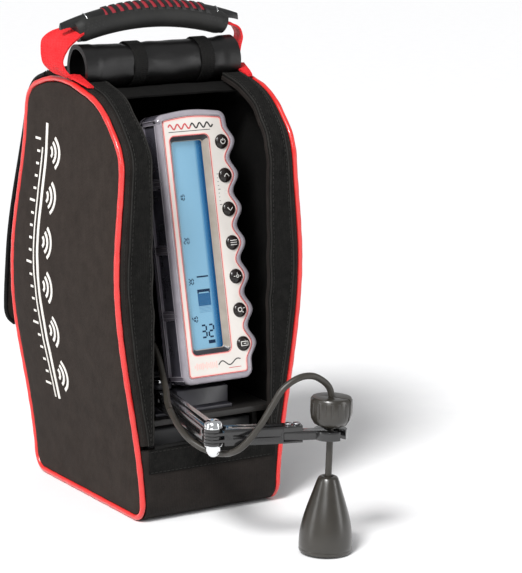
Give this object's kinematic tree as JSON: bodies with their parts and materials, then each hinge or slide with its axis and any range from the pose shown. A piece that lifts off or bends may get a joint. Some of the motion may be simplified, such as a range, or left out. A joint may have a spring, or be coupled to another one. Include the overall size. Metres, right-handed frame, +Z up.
{
  "type": "portable fish finder",
  "caption": "Portable ice-fishing sonar display in a soft carry bag, with tilting display, folding transducer arm, cable, handle and rear flap.",
  "frame": {"origin": "on the floor under the middle of the bag's bottom panel", "axes": "+X to the right seen from the front, +Y towards the back, +Z up; the display faces -Y"},
  "size_m": [0.183, 0.3472, 0.394],
  "materials": {
    "bag_fabric": "brown-black woven polyester over foam",
    "black_fabric": "black woven polyester over foam",
    "loop_fabric": "black hook and loop strip",
    "nylon": "shiny coated nylon",
    "red_piping": "glossy red vinyl piping",
    "red_webbing": "red woven webbing",
    "grip_rubber": "charcoal moulded grip",
    "housing": "smoky translucent plastic",
    "label": "off-white printed film with red border lines",
    "lens": "clear window",
    "lcd": "blue back-lit liquid crystal panel",
    "backlight": "white diffuser",
    "board": "green circuit board",
    "black_plastic": "moulded black plastic",
    "key_rubber": "black domed keys with pale icons",
    "grey_plastic": "dark grey moulded plastic",
    "tray": "brown-grey tray",
    "battery_case": "dark grey battery case",
    "lead_wire": "insulated wire with tinned lugs",
    "gasket": "soft black rubber",
    "arm_plastic": "glossy black glass-filled nylon",
    "bright_metal": "polished stainless steel",
    "steel": "zinc plated steel",
    "transducer_body": "satin olive-bronze plastic",
    "cable_jacket": "olive-grey cable jacket",
    "crystal_face": "potted sounding face"
  },
  "bodies": {
    "bag": {"bag_left_panel": "bag_fabric", "bag_right_panel": "bag_fabric", "bag_bottom_panel": "black_fabric", "bag_back_panel": "black_fabric", "bag_top_panel": "black_fabric", "bag_front_lower_panel": "black_fabric", "bag_front_left_strip": "black_fabric", "bag_front_right_strip": "black_fabric", "side_pipings": "red_piping", "hook_and_loop_strips": "loop_fabric", "rolled_front_cover": "nylon", "roll_ties": "nylon", "deck_tray": "tray", "battery": "battery_case", "battery_leads": "lead_wire", "junction_box": "black_plastic", "tilt_bracket": "grey_plastic", "cable_clip": "black_plastic", "arm_base_mount": "grey_plastic", "arm_base_bolt": "steel", "cable_coil": "cable_jacket", "cable_tie": "black_plastic", "cable_entry": "cable_jacket"},
    "display": {"display_front_shell": "housing", "display_rear_cover": "housing", "display_gasket": "gasket", "face_label": "label", "window_lens": "lens", "lcd_panel": "lcd", "backlight_panel": "backlight", "circuit_board": "board", "key_switches": "black_plastic", "housing_screws": "steel", "display_socket": "black_plastic", "lead_plug": "black_plastic", "cable_lead": "cable_jacket"},
    "tilt_knob_body": {"tilt_knob": "black_plastic", "tilt_bolt": "steel"},
    "key_1": {"button_1": "key_rubber"},
    "key_2": {"button_2": "key_rubber"},
    "key_3": {"button_3": "key_rubber"},
    "key_4": {"button_4": "key_rubber"},
    "key_5": {"button_5": "key_rubber"},
    "key_6": {"button_6": "key_rubber"},
    "key_7": {"button_7": "key_rubber"},
    "arm_inner": {"arm_inner_link": "arm_plastic", "elbow_bolt": "bright_metal", "elbow_nut": "bright_metal", "cable_sweep": "cable_jacket"},
    "arm_outer": {"arm_outer_link": "arm_plastic", "arm_fork": "arm_plastic", "fork_screws": "steel", "cable_arc": "cable_jacket"},
    "transducer": {"cable_stopper": "transducer_body", "cable_drop": "cable_jacket", "transducer_shell": "transducer_body", "transducer_crystal": "crystal_face"},
    "handle": {"handle_grip": "grip_rubber", "handle_webbing": "red_webbing"},
    "flap": {"rear_flap": "black_fabric"}
  },
  "joints": [
    {"name": "display_tilt", "type": "hinge", "parent": "bag", "child": "display", "pos_m": [0.005, -0.044, 0.097], "axis": [-1, 0, 0], "range_deg": [-2, 15], "deforming": ["cable_lead"]},
    {"name": "tilt_knob_turn", "type": "hinge", "parent": "bag", "child": "tilt_knob_body", "pos_m": [-0.02, -0.044, 0.097], "axis": [-1, 0, 0], "continuous": true},
    {"name": "key_1_press", "type": "slide", "parent": "display", "child": "key_1", "axis": [0, 0.9781, -0.2079], "range_m": [0, 0.001], "stiffness_N_per_m": 900},
    {"name": "key_2_press", "type": "slide", "parent": "display", "child": "key_2", "axis": [0, 0.9781, -0.2079], "range_m": [0, 0.001], "stiffness_N_per_m": 900},
    {"name": "key_3_press", "type": "slide", "parent": "display", "child": "key_3", "axis": [0, 0.9781, -0.2079], "range_m": [0, 0.001], "stiffness_N_per_m": 900},
    {"name": "key_4_press", "type": "slide", "parent": "display", "child": "key_4", "axis": [0, 0.9781, -0.2079], "range_m": [0, 0.001], "stiffness_N_per_m": 900},
    {"name": "key_5_press", "type": "slide", "parent": "display", "child": "key_5", "axis": [0, 0.9781, -0.2079], "range_m": [0, 0.001], "stiffness_N_per_m": 900},
    {"name": "key_6_press", "type": "slide", "parent": "display", "child": "key_6", "axis": [0, 0.9781, -0.2079], "range_m": [0, 0.001], "stiffness_N_per_m": 900},
    {"name": "key_7_press", "type": "slide", "parent": "display", "child": "key_7", "axis": [0, 0.9781, -0.2079], "range_m": [0, 0.001], "stiffness_N_per_m": 900},
    {"name": "arm_base_pivot", "type": "hinge", "parent": "bag", "child": "arm_inner", "pos_m": [-0.03, -0.066, 0.092], "axis": [0, 0, 1], "range_deg": [-8, 30], "deforming": ["cable_entry"]},
    {"name": "elbow_pivot", "type": "hinge", "parent": "arm_inner", "child": "arm_outer", "pos_m": [-0.054, -0.1905, 0.092], "axis": [0, 0, 1], "range_deg": [-80, 20], "deforming": ["cable_sweep"]},
    {"name": "transducer_lift", "type": "slide", "parent": "arm_outer", "child": "transducer", "axis": [0.0454, 0, 0.999], "range_m": [0, 0.026], "deforming": ["cable_arc"]},
    {"name": "handle_swing", "type": "hinge", "parent": "bag", "child": "handle", "pos_m": [0, 0.004, 0.3386], "axis": [1, 0, 0], "range_deg": [-55, 0]},
    {"name": "rear_flap_fold", "type": "hinge", "parent": "bag", "child": "flap", "pos_m": [0, 0.038, 0.337], "axis": [1, 0, 0], "range_deg": [0, 95]}
  ]
}
